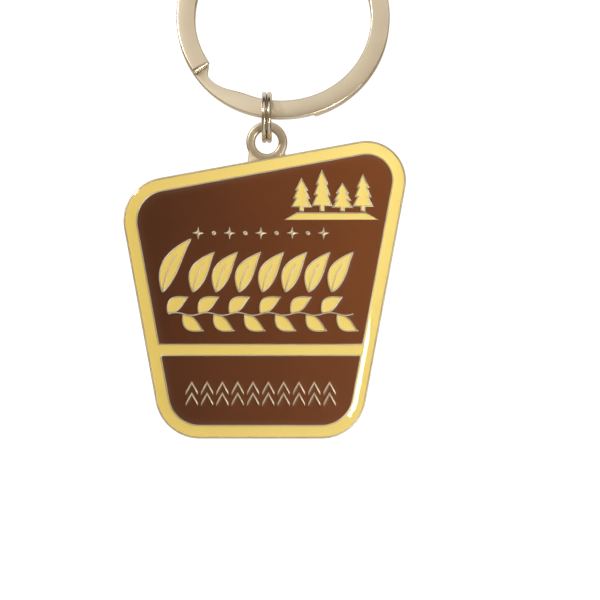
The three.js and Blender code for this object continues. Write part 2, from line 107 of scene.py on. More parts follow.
def join(shells):
    """Puts several closed skins into one list of points and faces."""
    start, points, faces = 0, [], []
    for shell_points, shell_faces in shells:
        points.append(shell_points)
        faces += [tuple(start + i for i in face) for face in shell_faces]
        start += len(shell_points)
    return np.concatenate(points), faces


# %% [markdown]
# ## From points to a named piece
# Every piece rides on a body of the frame, stands for the CAD nodes that it replaces, and takes one
# finish. Edges sharper than a given angle stay crisp, the rest is shaded smooth.

# %% Make one piece
def make_piece(name, shell, body, material, replaced, sharp=50):
    points, faces = shell
    mesh = bpy.data.meshes.new(name)
    mesh.from_pydata((np.asarray(points) * MILLIMETRE).tolist(), [], faces)
    mesh.validate()
    mesh.materials.append(material)
    mesh.shade_smooth()
    mesh.set_sharp_from_angle(angle=math.radians(sharp))
    piece = bpy.data.objects.new(name, mesh)
    bpy.context.scene.collection.objects.link(piece)
    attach(piece, body)
    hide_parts(*replaced)
    print(f"{name}: {len(mesh.vertices)} points, {len(mesh.polygons)} faces")
    return piece


# %% [markdown]
# ## Colour and node helpers
# Paint and metal colours are read as sRGB, as on a colour card, and the renderer works in linear
# light, so one function converts them.

# %% Colour
def colour(code):
    """An sRGB hex code such as d6c7ad as linear RGBA."""
    channels = [int(code[i:i + 2], 16) / 255 for i in (0, 2, 4)]
    linear = [c / 12.92 if c <= 0.04045 else ((c + 0.055) / 1.055) ** 2.4 for c in channels]
    return (*linear, 1.0)


print("mid grey 808080 in linear light is", round(colour("808080")[0], 3))

# %% [markdown]
# A finish is a graph of nodes. Every one of them is added by the same function, which takes the node's
# own name, so the graph reads like the menu it comes from and no kind of node needs a helper.

# %% One node, its settings and its links
def add_node(tree, kind, settings=(), links=(), stops=()):
    """Settings go to attributes or sockets, links are (socket, output), stops are a ramp's colours."""
    node = tree.nodes.new(kind)
    for name, value in settings:
        if isinstance(name, str) and hasattr(node, name):
            setattr(node, name, value)
        else:
            node.inputs[name].default_value = value
    for name, source in links:
        tree.links.new(source, node.inputs[name])
    for i, (place, code) in enumerate(stops):
        marks = node.color_ramp.elements
        mark = marks[i] if i < len(marks) else marks.new(place)
        mark.position, mark.color = place, colour(code)
    return node


def new_material(name):
    material = bpy.data.materials.new(name)
    material.use_nodes = True
    tree = material.node_tree
    tree.nodes.clear()
    print("finish:", name)
    return material, tree


def cycles_per_metre(size_mm):
    """The scale of a texture whose features are this many millimetres across."""
    return 1 / (size_mm * MILLIMETRE)


# %% [markdown]
# ## Bright nickel plate
# The key ring is steel strip and the link is steel wire, both barrel-polished and nickel plated.
# Nickel is a slightly warm, yellowish white metal. Tumbling leaves a soft haze with fine hairlines
# along the strip, so the roughness wanders and a shallow bump carries the lines. A metal keeps the
# default IOR, since its colour is what sets its reflection. In deep corners and gaps an occlusion
# node darkens the colour towards dark brown: that is painted shade, not a property of the plate.

# %% Nickel plate
def nickel_plate(name, tint, shade, haze, grain_mm, depth_mm, crevice_mm=0.7):
    material, tree = new_material(name)
    place = add_node(tree, "ShaderNodeTexCoord").outputs["Object"]
    clouds = add_node(tree, "ShaderNodeTexNoise",
                      [("Scale", cycles_per_metre(3.0)), ("Detail", 3.0)], [("Vector", place)])
    grain = add_node(tree, "ShaderNodeTexNoise",
                     [("Scale", cycles_per_metre(grain_mm)), ("Detail", 4.0), ("Roughness", 0.6)],
                     [("Vector", place)])
    tone = add_node(tree, "ShaderNodeMix",
                    [("data_type", "RGBA"), (6, colour(tint)), (7, colour(shade))],
                    [(0, clouds.outputs["Fac"])])
    rough = add_node(tree, "ShaderNodeMapRange",
                     [("To Min", haze * 0.75), ("To Max", haze * 1.3)], [("Value", grain.outputs["Fac"])])
    relief = add_node(tree, "ShaderNodeBump",
                      [("Strength", 0.35), ("Distance", depth_mm * MILLIMETRE)],
                      [("Height", grain.outputs["Fac"])])
    # Painted shade: occlusion mixes the metal colour towards dark brown 3d3026 in corners and gaps.
    open_sky = add_node(tree, "ShaderNodeAmbientOcclusion",
                        [("samples", 8), ("Distance", crevice_mm * MILLIMETRE)])
    depth = add_node(tree, "ShaderNodeMapRange", [("From Min", 0.15), ("From Max", 0.75)],
                     [("Value", open_sky.outputs["AO"])])
    plated = add_node(tree, "ShaderNodeMix", [("data_type", "RGBA"), (6, colour("3d3026"))], [
        (0, depth.outputs["Result"]), (7, tone.outputs[2])])
    shader = add_node(tree, "ShaderNodeBsdfPrincipled", [("Metallic", 1.0)], [
        ("Base Color", plated.outputs[2]),
        ("Roughness", rough.outputs["Result"]),
        ("Normal", relief.outputs["Normal"]),
    ])
    add_node(tree, "ShaderNodeOutputMaterial", links=[("Surface", shader.outputs["BSDF"])])
    return material


strip_nickel = nickel_plate("nickel_plated_strip", "ebe0ca", "ddd0b8", 0.3, 0.25, 0.006)
wire_nickel = nickel_plate("nickel_plated_wire", "e4dac8", "cfc2ac", 0.16, 0.4, 0.004)
badge_nickel = nickel_plate("nickel_plated_casting", "e6dac2", "c4b494", 0.42, 0.3, 0.01)

# %% [markdown]
# ## Soft enamel
# The colours are oven-cured enamel paint, dispensed into the cells with a needle and levelled by its
# own surface tension. It is opaque and smooth, with faint flow marks a few millimetres across. The
# colour is darker towards the badge's left side, and a slope across the badge leads from one tone
# to the other. IOR 1.5 is usual for such paint.

# %% Enamel paint
SLOPE_REACH = 15.0


def soft_enamel(name, tint, shade, flow_mm, fleck):
    material, tree = new_material(name)
    place = add_node(tree, "ShaderNodeTexCoord").outputs["Object"]
    flow = add_node(tree, "ShaderNodeTexNoise",
                    [("Scale", cycles_per_metre(flow_mm)), ("Detail", 2.0), ("Distortion", 0.4)],
                    [("Vector", place)])
    pigment = add_node(tree, "ShaderNodeTexNoise",
                       [("Scale", cycles_per_metre(0.35)), ("Detail", 5.0)], [("Vector", place)])
    across = add_node(tree, "ShaderNodeSeparateXYZ", links=[(0, place)])
    # The colour grows darker towards the badge's left side; this slope and the flow noise mix the two
    # tones.
    slope = add_node(tree, "ShaderNodeMapRange",
                     [("From Min", SLOPE_REACH * MILLIMETRE), ("From Max", -SLOPE_REACH * MILLIMETRE)],
                     [("Value", across.outputs["X"])])
    slope_and_flow = add_node(tree, "ShaderNodeMix", [(0, 0.3)], [
        (2, slope.outputs["Result"]), (3, flow.outputs["Fac"])])
    broad = add_node(tree, "ShaderNodeMix",
                     [("data_type", "RGBA"), (6, colour(tint)), (7, colour(shade))],
                     [(0, slope_and_flow.outputs[0])])
    speckle = add_node(tree, "ShaderNodeMapRange",
                       [("From Min", 0.3), ("From Max", 0.7), ("To Min", 1 - fleck), ("To Max", 1 + fleck)],
                       [("Value", pigment.outputs["Fac"])])
    tone = add_node(tree, "ShaderNodeVectorMath", [("operation", "SCALE")],
                    [(0, broad.outputs[2]), ("Scale", speckle.outputs["Result"])])
    rough = add_node(tree, "ShaderNodeMapRange", [("To Min", 0.28), ("To Max", 0.42)],
                     [("Value", pigment.outputs["Fac"])])
    relief = add_node(tree, "ShaderNodeBump",
                      [("Strength", 0.3), ("Distance", 0.02 * MILLIMETRE)],
                      [("Height", flow.outputs["Fac"])])
    shader = add_node(tree, "ShaderNodeBsdfPrincipled", [("IOR", 1.5)], [
        ("Base Color", tone.outputs["Vector"]),
        ("Roughness", rough.outputs["Result"]),
        ("Normal", relief.outputs["Normal"]),
    ])
    add_node(tree, "ShaderNodeOutputMaterial", links=[("Surface", shader.outputs["BSDF"])])
    return material


yellow_enamel = soft_enamel("yellow_soft_enamel", "f2dc80", "e6cb6a", 9.0, 0.02)
brown_enamel = soft_enamel("brown_soft_enamel", "784016", "482208", 14.0, 0.04)

# %% [markdown]
# ## Poured epoxy
# A drop of clear epoxy spreads to the rim and stops there, so it makes a lens. Its surface is perfectly
# glossy, and what is under it stays as bright as before. A refracting glass shader would darken
# the enamel, because light from the lamps has no straight way through it, so the dome is a transparent
# shader with a mirror on top, mixed by the Fresnel curve of epoxy at IOR 1.52. Only the outer side
# mirrors: underneath, the resin is bonded to the enamel, so no light turns back there.

# %% Clear resin
def clear_epoxy(name):
    material, tree = new_material(name)
    place = add_node(tree, "ShaderNodeTexCoord").outputs["Object"]
    ripple = add_node(tree, "ShaderNodeTexNoise",
                      [("Scale", cycles_per_metre(12.0)), ("Detail", 1.0)], [("Vector", place)])
    relief = add_node(tree, "ShaderNodeBump",
                      [("Strength", 0.25), ("Distance", 0.05 * MILLIMETRE)],
                      [("Height", ripple.outputs["Fac"])])
    fresnel = add_node(tree, "ShaderNodeFresnel", [("IOR", 1.52)], [("Normal", relief.outputs["Normal"])])
    from_inside = add_node(tree, "ShaderNodeNewGeometry").outputs["Backfacing"]
    shine = add_node(tree, "ShaderNodeMix", [(3, 0.0)], [(0, from_inside), (2, fresnel.outputs["Fac"])])
    clear = add_node(tree, "ShaderNodeBsdfTransparent", [("Color", (1.0, 1.0, 1.0, 1.0))])
    mirror = add_node(tree, "ShaderNodeBsdfAnisotropic", [("Roughness", 0.03)],
                      [("Normal", relief.outputs["Normal"])])
    shader = add_node(tree, "ShaderNodeMixShader", (), [
        (0, shine.outputs[0]), (1, clear.outputs["BSDF"]), (2, mirror.outputs["BSDF"])])
    add_node(tree, "ShaderNodeOutputMaterial", links=[("Surface", shader.outputs["Shader"])])
    return material


epoxy = clear_epoxy("clear_epoxy_dome")

# %% [markdown]
# ## The split key ring
# One flat strip is wound edge-wise into two turns that lie face to face. At one place the strip steps
# from the back turn to the front one, and there it is pressed narrower, so the two cut ends can
# butt up to it. The section is a rounded rectangle, bent round a circle; the step is a smooth ramp.

# %% Sizes of the ring
STRIP_WIDTH, STRIP_THICKNESS, TURN_PITCH = 2.8, 0.97, 1.03
STRIP_EDGE = 0.24
RING_RADIUS = 14.6
RING_SHIFT = 2.4
RING_TILT = math.radians(12)
RING_CROSSOVER = np.radians((216, 284))
RING_LAPS = np.radians((3, 1.6))
NECK_DEPTH = 1.3
NECK_RAMP, NECK_REST, NECK_EASE = np.radians((8, 2, 24))
RING_CUT_EDGE, RING_STEP = 0.2, math.radians(2)
print("key ring", 2 * RING_RADIUS + STRIP_WIDTH, "mm across,", round(TURN_PITCH + STRIP_THICKNESS, 2),
      "mm thick")


def smooth_step(value, low, high):
    share = np.clip((value - low) / (high - low), 0, 1)
    return share * share * (3 - 2 * share)


# %% [markdown]
# Strip is rolled from wire, which leaves its edges round. A sharp rectangle would show a hard black line
# there, so each corner is an arc, and its few points catch the light as the rolled edge does.

# %% A rounded rectangle
def rounded_section(width, height, radius, steps=4):
    """An anticlockwise outline, the four corners each an arc."""
    points = []
    for quarter, (side, end) in enumerate(((1, 1), (-1, 1), (-1, -1), (1, -1))):
        centre = np.array((side * (width / 2 - radius), end * (height / 2 - radius)))
        for step in range(steps + 1):
            angle = math.pi / 2 * (quarter + step / steps)
            points.append(centre + radius * np.array((math.cos(angle), math.sin(angle))))
    return np.array(points)


strip_section = rounded_section(STRIP_WIDTH, STRIP_THICKNESS, STRIP_EDGE)
print("strip section has", len(strip_section), "points")

# %% [markdown]
# The same winding serves the key ring and the link: an angle along the two turns gives each row of
# points its place, and the first and last rows are drawn in a little, as a cut edge that was tumbled.

# %% Winding a bar twice
def wind_twice(section, radius, crossover, laps, pitch, step, cut_edge, narrow=None):
    start = crossover[1] + laps[0] - 2 * math.pi
    end = crossover[0] - laps[1] + 2 * math.pi
    edge = cut_edge / radius
    angles = np.linspace(start + edge, end - edge, round((end - start) / step) + 1)
    stations = [(start, cut_edge), *((angle, 0.0) for angle in angles), (end, cut_edge)]
    rows = []
    for angle, drawn_in in stations:
        across, through = (section - drawn_in * np.sign(section)).T
        if narrow is not None:
            across = narrow(across, angle)
        reach = radius + across
        turn = pitch * (smooth_step(angle, *crossover) - 0.5)
        rows.append(np.column_stack((reach * math.cos(angle), reach * math.sin(angle), turn - through)))
    print(f"wound {(end - start) / (2 * math.pi):.2f} turns in {len(rows)} rows")
    return loft(rows)


def neck(across, angle):
    narrowest = RING_CROSSOVER[0] + NECK_RAMP / 2
    rest = narrowest + NECK_REST
    narrowed = smooth_step(angle, narrowest - NECK_RAMP, narrowest)
    widened = smooth_step(angle, rest, rest + NECK_EASE)
    return across + NECK_DEPTH * (narrowed - widened) * (0.5 - across / STRIP_WIDTH)


# %% [markdown]
# The ring leans back by its tilt, so its foot comes forward, and the strip's middle passes through
# the first hanging point.

# %% Place the ring
def lean_back(points):
    x, y, z = np.asarray(points).T
    sine, cosine = math.sin(RING_TILT), math.cos(RING_TILT)
    return np.column_stack((x, y * sine - z * cosine, y * cosine + z * sine))


ring_points, ring_faces = wind_twice(
    strip_section, RING_RADIUS, RING_CROSSOVER, RING_LAPS, TURN_PITCH, RING_STEP, RING_CUT_EDGE, neck)
strip_drop = math.sqrt(RING_RADIUS**2 - RING_SHIFT**2)
ring_centre = strip_middle - lean_back([(-RING_SHIFT, -strip_drop, 0)])[0]
make_piece("flat_split_ring", (lean_back(ring_points) + ring_centre, ring_faces), "key_ring",
           strip_nickel, ["key_ring"])

# %% [markdown]
# ## The double link
# A short length of round wire, also wound twice. Its plane is square to the badge, so from the front
# it shows as two parallel wires.

# %% The link
LINK_WIRE, WIRE_PITCH = 0.7, 0.75
LINK_SEAT, LINK_INNER = 1.95, 3.1
LINK_CROSSOVER = np.radians((70, 110))
LINK_LAPS = np.radians((8, 8))
LINK_CUT_EDGE, LINK_STEP = 0.06, math.radians(4)
WIRE_SIDES = 20

turn_angles = np.linspace(0, 2 * math.pi, WIRE_SIDES, endpoint=False)
wire_section = LINK_WIRE / 2 * np.column_stack((np.cos(turn_angles), np.sin(turn_angles)))
link_points, link_faces = wind_twice(
    wire_section, LINK_INNER + LINK_WIRE / 2, LINK_CROSSOVER, LINK_LAPS, WIRE_PITCH, LINK_STEP,
    LINK_CUT_EDGE)
x, y, z = link_points.T
link_centre = strip_middle + (0, 0, LINK_SEAT - LINK_INNER)
make_piece("double_wire_link", (np.column_stack((z, y, -x)) + link_centre, link_faces), "link",
           wire_nickel, ["link_ring"])

# %% [markdown]
# ## Drawing the badge
# The badge is drawn flat, from the front: u to the right, v up, and depth towards the viewer. Its
# outline is four straight sides with rounded corners, and the rim, the yellow band and the ridges are
# that outline drawn in by their widths, as a die-sinker would scribe them.

# %% Sizes of the badge
FOOT, LEFT_HEIGHT, RIGHT_HEIGHT, LEFT_FLARE, RIGHT_FLARE = 29.2, 37.6, 45.7, 6.85, 8.46
CORNER_RADII = (6.7, 6.7, 5.9, 6.5)
PLATE, CELL_DEPTH = 2.0, 0.55
RIM, BAND, RIDGE = 0.3, 1.6, 0.2
DIVIDER, DIVIDER_BAND = 13.2, 1.45
HOLE, EYELET_WALL, EYELET_THICKNESS, EYELET_RISE, EYELET_FOOT = 1.75, 1.3, 1.6, 2.4, 2.9
ENAMEL_DROP = 0.05
DOME_HEIGHT, DOME_INSET = 0.9, 0.15
field_inset = RIM + BAND + RIDGE
divider_half = DIVIDER_BAND / 2 + RIDGE
cell_floor = PLATE - CELL_DEPTH
foot_left, foot_right = np.array((-FOOT / 2, 0.0)), np.array((FOOT / 2, 0.0))
top_right = np.array((FOOT / 2 + RIGHT_FLARE, RIGHT_HEIGHT))
top_left = np.array((-FOOT / 2 - LEFT_FLARE, LEFT_HEIGHT))
badge_corners = np.array((foot_left, foot_right, top_right, top_left))
print("badge", round(top_right[0] - top_left[0], 1), "mm wide and", RIGHT_HEIGHT,
      "mm high before its corners are rounded")


# %% [markdown]
# ### Offsetting outlines
# Two ways are needed. A freely drawn outline is grown along its own normals, with mitred corners. The
# badge's outline has its four sides moved and is rounded afterwards, so its corners stay true arcs.

# %% Outline tools
MITRE_LIMIT = 0.35


def outward_normals(outline):
    """The normal of the side that leaves each point of an anticlockwise outline."""
    along = np.roll(outline, -1, axis=0) - outline
    along /= np.linalg.norm(along, axis=1, keepdims=True)
    return np.column_stack((along[:, 1], -along[:, 0]))


def grow(outline, distance):
    leaving = outward_normals(outline)
    arriving = np.roll(leaving, 1, axis=0)
    mitre = np.maximum(1 + (leaving * arriving).sum(axis=1), MITRE_LIMIT)
    return outline + distance * (leaving + arriving) / mitre[:, None]


def inset_corners(corners, insets):
    leaving = outward_normals(corners)
    arriving = np.roll(leaving, 1, axis=0)
    before = np.roll(insets, 1)
    moved = []
    for corner, normal_in, normal_out, inset_in, inset_out in zip(
            corners, arriving, leaving, before, insets):
        shift = np.linalg.solve(np.array((normal_in, normal_out)), (-inset_in, -inset_out))
        moved.append(corner + shift)
    return np.array(moved)


def round_corners(corners, radii, arc_steps=16, side_steps=14):
    """Corner i becomes an arc of radii[i], and each straight side gets evenly spaced points."""
    leaving = outward_normals(corners)
    arriving = np.roll(leaving, 1, axis=0)
    arcs = []
    for corner, radius, normal_in, normal_out in zip(corners, radii, arriving, leaving):
        if radius <= 0:
            arcs.append(corner[None])
            continue
        turn = math.acos(normal_in @ normal_out)
        centre = corner - (normal_in + normal_out) * radius / (1 + math.cos(turn))
        angles = math.atan2(normal_in[1], normal_in[0]) + np.linspace(0, turn, arc_steps + 1)
        arcs.append(centre + radius * np.column_stack((np.cos(angles), np.sin(angles))))
    outline = []
    for arc, following in zip(arcs, arcs[1:] + arcs[:1]):
        outline.append(arc)
        shares = np.linspace(0, 1, side_steps + 2)[1:-1, None]
        outline.append(arc[-1] + shares * (following[0] - arc[-1]))
    return np.concatenate(outline)


# %% [markdown]
# ### The badge's own outlines
# The whole badge and its two fields come from the same four corners. The fields end at the cross band, so
# two of their corners lie on the slanted sides at the band's height and stay sharp, as on the real die.

# %% The badge's own outlines
def badge_outline(inset):
    radii = [max(radius - inset, 0.05) for radius in CORNER_RADII]
    return round_corners(inset_corners(badge_corners, [inset] * 4), radii)


def along_side(low, high, height):
    return low + (high - low) * height / high[1]


divider_ends = [along_side(foot_left, top_left, DIVIDER), along_side(foot_right, top_right, DIVIDER)]


def upper_field(inset):
    side = field_inset + inset
    corners = inset_corners(np.array((*divider_ends, top_right, top_left)),
                            [divider_half + inset, side, side, side])
    return round_corners(corners, [0, 0, CORNER_RADII[2] - side, CORNER_RADII[3] - side])


def lower_field(inset):
    side = field_inset + inset
    corners = inset_corners(np.array((foot_left, foot_right, divider_ends[1], divider_ends[0])),
                            [side, side, divider_half + inset, side])
    return round_corners(corners, [CORNER_RADII[0] - side, CORNER_RADII[1] - side, 0, 0])


print("outline points:", len(badge_outline(0)), len(upper_field(0)), len(lower_field(0)))

# %% [markdown]
# ### Placing the drawing
# The eyelet stands over the badge's centre of area, so that the badge hangs level. Its hole is the
# second hanging point, and that fixes the whole drawing in the frame.

# %% From the drawing to the frame
next_corners = np.roll(badge_corners, -1, axis=0)
area_parts = badge_corners[:, 0] * next_corners[:, 1] - badge_corners[:, 1] * next_corners[:, 0]
eyelet_u = (area_parts * (badge_corners[:, 0] + next_corners[:, 0])).sum() / area_parts.sum() / 3
top_slope = (top_right[1] - top_left[1]) / (top_right[0] - top_left[0])
edge_under_eyelet = top_left[1] + top_slope * (eyelet_u - top_left[0])
eyelet = np.array((eyelet_u, edge_under_eyelet + EYELET_RISE))


def at_depth(outline, depth):
    """An outline of the drawing as points (u, v, depth)."""
    outline = np.asarray(outline)
    return np.column_stack((outline, np.broadcast_to(depth, len(outline))))


def on_badge(shell):
    points, faces = shell
    u, v, depth = np.asarray(points).T
    placed = np.column_stack((u - eyelet[0], PLATE / 2 - depth, v - eyelet[1]))
    return placed + hole_middle, faces


plate_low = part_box("badge_plate")[0]
print("plate foot at", round(hole_middle[2] - eyelet[1], 3), "mm, CAD has",
      round(plate_low.z / MILLIMETRE, 3))

# %% [markdown]
# ## The ornament
# The fields carry leaves, a vine, sparkles, conifers and chevrons, all plain pattern. Each is drawn by
# a formula: a leaf is a bowed spine with a half-width that swells and tapers, a sparkle is a star
# with a narrow waist. The places are shares of the field, so they follow the badge's size.

# %% Rows in the fields
upper_low = DIVIDER + divider_half
upper_high = top_left[1] - top_slope * top_left[0] - field_inset * math.hypot(1, top_slope)
lower_high = DIVIDER - divider_half
side_lean = math.hypot(1, RIGHT_FLARE / RIGHT_HEIGHT)


def field_height(share):
    return upper_low + share * (upper_high - upper_low)


def lower_height(share):
    return field_inset + share * (lower_high - field_inset)


def field_sides(height, margin):
    inset = field_inset * side_lean + margin
    return (along_side(foot_left, top_left, height)[0] + inset,
            along_side(foot_right, top_right, height)[0] - inset)


print("fields are", round(upper_high - upper_low, 1), "and", round(lower_high - field_inset, 1), "mm high")

# %% [markdown]
# ### Leaves
# A leaf is widest a little below its middle and bows to one side. A swelling sine gives both edges from
# one formula, and the vein follows the same spine, so it lies along the middle of its leaf.

# %% Leaves
LEAVES, SMALL_LEAVES = 8, 12
LEAF_LEAN, SMALL_LEAN = math.radians(62), math.radians(38)
LEAF_BEND = 0.09
LEAF_SPAN, LEAF_MARGIN, FIRST_LEAF, LEAF_WIDTH = (0.31, 0.53), 3, 1.36, 0.66
VINE_SPAN, VINE_MARGIN, SMALL_WIDTH = (0.08, 0.27), 1.7, 0.5
STEM, STEM_WAVE = 0.11, 0.2


def leaf_points(leaf, shares, sides):
    foot, length, lean, bow = leaf["foot"], leaf["length"], leaf["lean"], leaf["bow"]
    along = np.array((math.cos(lean), math.sin(lean)))
    across = np.array((-along[1], along[0]))
    bowed = sides + bow * length * 4 * shares * (1 - shares)
    return foot + shares[:, None] * length * along + bowed[:, None] * across


def leaf_outline(leaf, steps=22):
    shares = (1 - np.cos(np.linspace(0, math.pi, steps + 2))) / 2
    half = leaf["width"] / 2 * np.sin(math.pi * shares**0.8)
    right = leaf_points(leaf, shares, -half)
    left = leaf_points(leaf, shares, half)[1:-1][::-1]
    return np.concatenate((right, left))


def vein_outline(leaf, half=0.1, reach=0.7, steps=8):
    shares = np.linspace(-0.02, reach, steps + 1)
    right = leaf_points(leaf, shares, np.where(shares < reach, -half, 0.0))
    left = leaf_points(leaf, shares[:-1], np.full(steps, half))[::-1]
    return np.concatenate((right, left))


def leaf_row():
    low, high = (field_height(share) for share in LEAF_SPAN)
    left, right = field_sides(low, LEAF_MARGIN)
    rise = high - low
    run = rise / math.tan(LEAF_LEAN)
    pitch = (right - left - run) / (LEAVES - 1)
    sizes = [FIRST_LEAF] + [1.0] * (LEAVES - 1)
    return [{"foot": np.array((left + i * pitch - (size - 1) * run, low)),
             "length": size * rise / math.sin(LEAF_LEAN), "width": LEAF_WIDTH * pitch,
             "lean": LEAF_LEAN, "bow": LEAF_BEND} for i, size in enumerate(sizes)]


vine_low, vine_high = (field_height(share) for share in VINE_SPAN)
stem_height = (vine_low + vine_high) / 2
stem_left, stem_right = field_sides(vine_low, VINE_MARGIN)
vine_pitch = (stem_right - stem_left) / SMALL_LEAVES


def vine_row():
    clear = STEM + STEM_WAVE
    length = ((vine_high - vine_low) / 2 - clear) / math.sin(SMALL_LEAN)
    sides = [-1 if i % 2 else 1 for i in range(SMALL_LEAVES)]
    return [{"foot": np.array((stem_left + i * vine_pitch, stem_height + side * clear)),
             "length": length, "width": SMALL_WIDTH * length, "lean": side * SMALL_LEAN,
             "bow": side * LEAF_BEND} for i, side in enumerate(sides)]


def stem_outline(steps=120):
    u = np.linspace(stem_left, stem_right, steps + 1)
    v = stem_height + STEM_WAVE * np.sin(math.pi * (u - stem_left) / vine_pitch)
    lower, upper = np.column_stack((u, v - STEM)), np.column_stack((u, v + STEM))
    return np.concatenate((lower, upper[::-1]))


# %% [markdown]
# ### Conifers, ground, sparkles and chevrons
# These are straight-sided marks, as an engraver would cut them with a graver. Each is a short list of
# corners in shares of its own width and height, mirrored or repeated by a loop.

# %% Conifers, ground, sparkles and chevrons
CONIFERS, CONIFER_WIDTH = (0.78, 1, 0.66, 0.88), 0.84
CONIFER_SPAN, CONIFER_SHARE = (0.785, 1.01), (0.62, 0.945)
GROUND_SPAN, GROUND_SHARE = (0.73, 0.765), (0.6, 0.968)
SPARKLES, SPARKLE_SPAN, SPARKLE_SHARE = 9, (0.61, 0.69), 0.52
CHEVRONS, CHEVRON_ROWS, CHEVRON_MARGIN, CHEVRON_RISE, STROKE = 10, (0.27, 0.43), 2, 0.16, 0.5


def conifer_outline(u, base, height, width):
    profile = np.array(((0.07, 0), (0.07, 0.14), (0.5, 0.14), (0.22, 0.42), (0.39, 0.42),
                        (0.15, 0.7), (0.27, 0.7)))
    right = np.array((u, base)) + profile * (width, height)
    left = np.array((u, base)) + profile[::-1] * (-width, height)
    return np.concatenate((right, [(u, base + height)], left))


def conifer_row():
    base, top = (field_height(share) for share in CONIFER_SPAN)
    left, right = field_sides(base, 0)
    low, high = (left + share * (right - left) for share in CONIFER_SHARE)
    pitch = (high - low) / len(CONIFERS)
    return [conifer_outline(low + (i + 0.5) * pitch, base, share * (top - base),
                            CONIFER_WIDTH * pitch)
            for i, share in enumerate(CONIFERS)]


def ground_outline():
    low, high = (field_height(share) for share in GROUND_SPAN)
    left, right = field_sides(low, 0)
    start, end = (left + share * (right - left) for share in GROUND_SHARE)
    bank = (end - start) / 8
    return np.array(((start, low), (end, low), (end - bank, high), (start + bank, high)))


def star_outline(u, v, half_width, half_height, waist, points):
    angles = np.linspace(0, 2 * math.pi, 2 * points, endpoint=False)
    reach = np.where(np.arange(2 * points) % 2, waist, 1.0)
    return np.column_stack((u + half_width * reach * np.cos(angles),
                            v + half_height * reach * np.sin(angles)))


def sparkle_row():
    low, high = (field_height(share) for share in SPARKLE_SPAN)
    left, right = field_sides(low, 0)
    pitch = SPARKLE_SHARE * (right - left) / (SPARKLES - 1)
    half = (high - low) / 2
    marks = []
    for i in range(SPARKLES):
        u = (left + right) / 2 + (i - (SPARKLES - 1) / 2) * pitch
        if i % 2:
            marks.append(star_outline(u, (low + high) / 2, half / 3, half / 3, 1.0, 8))
        else:
            marks.append(star_outline(u, (low + high) / 2, 0.4 * pitch, half, 0.3, 4))
    return marks


def chevron_rows():
    rise = lower_height(CHEVRON_RISE) - lower_height(0)
    left, right = field_sides(lower_height(CHEVRON_ROWS[0]), CHEVRON_MARGIN)
    pitch = (right - left) / CHEVRONS
    half = 0.4 * pitch
    shape = np.array(((-half, 0), (0, rise), (half, 0), (half, STROKE), (0, rise + STROKE),
                      (-half, STROKE)))
    return [shape + (left + (i + 0.5) * pitch, lower_height(share))
            for share in CHEVRON_ROWS for i in range(CHEVRONS)]


leaves = leaf_row()
leaf_cells = [leaf_outline(leaf) for leaf in leaves]
veins = [vein_outline(leaf) for leaf in leaves]
vine_cells = [leaf_outline(leaf) for leaf in vine_row()]
conifer_cells = conifer_row()
ground_cell = ground_outline()
motif_cells = [*leaf_cells, *vine_cells, *conifer_cells, ground_cell]
print(len(leaf_cells), "leaves,", len(vine_cells), "vine leaves,", len(conifer_cells), "conifers")

# %% [markdown]
# ## The struck plate
# The plate is one casting: a tray with a rim, ridges that stand on its floor, and raised marks. The
# ridges are the thin metal lines between two colours. Polishing rounds their tops, and that is what
# makes them glint, so each gets a real rounded section and not a bump.

# %% Sections of rims and ridges
RIDGE_PROFILE = ((0.0, -0.55), (0.0, -0.06), (0.12, -0.02), (0.3, 0.0), (0.7, 0.0), (0.88, -0.02),
                 (1.0, -0.06), (1.0, -0.55))


def ridge(outline_at):
    """A closed metal line whose outer side is outline_at(0) and whose inner side is outline_at(1)."""
    rows = [at_depth(outline_at(share), PLATE + drop) for share, drop in RIDGE_PROFILE]
    return loft(rows, ring=True)


print("ridges", RIDGE, "mm wide stand", CELL_DEPTH, "mm above the cell floor")


def cell_ridge(cell):
    return ridge(lambda share: grow(cell, RIDGE * (1 - share)))


def raised_mark(outline):
    """A solid mark that stands on the floor, its top edge slightly rounded."""
    levels = ((0.0, cell_floor), (0.0, PLATE - 0.06), (0.02, PLATE - 0.02), (0.06, PLATE))
    return loft([at_depth(grow(outline, -inset), depth) for inset, depth in levels])


def tray():
    """Back, sides, rim and floor of the plate, from the back edge round to the floor."""
    levels = ((0.22, 0.0), (0.1, 0.04), (0.04, 0.16), (0.04, PLATE - 0.12), (0.07, PLATE - 0.03),
              (0.12, PLATE), (0.2, PLATE), (0.27, PLATE - 0.03), (RIM, PLATE - 0.09), (RIM, cell_floor))
    return loft([at_depth(badge_outline(inset), depth) for inset, depth in levels])


# %% [markdown]
# The eyelet is cast with the plate. It is a thick ring with a softly rounded section, and a short
# root flares from its sides into the top edge. The casting is thinner than the plate, so a step shows
# where the two meet.

# %% The eyelet
def eyelet_ring(steps=64):
    section = rounded_section(EYELET_WALL, EYELET_THICKNESS, 0.35, 5)
    rows = []
    for angle in np.linspace(0, 2 * math.pi, steps, endpoint=False):
        reach = HOLE + EYELET_WALL / 2 + section[:, 0]
        rows.append(np.column_stack((eyelet[0] + reach * math.cos(angle),
                                     eyelet[1] + reach * math.sin(angle),
                                     PLATE / 2 - section[:, 1])))
    return loft(rows, ring=True)


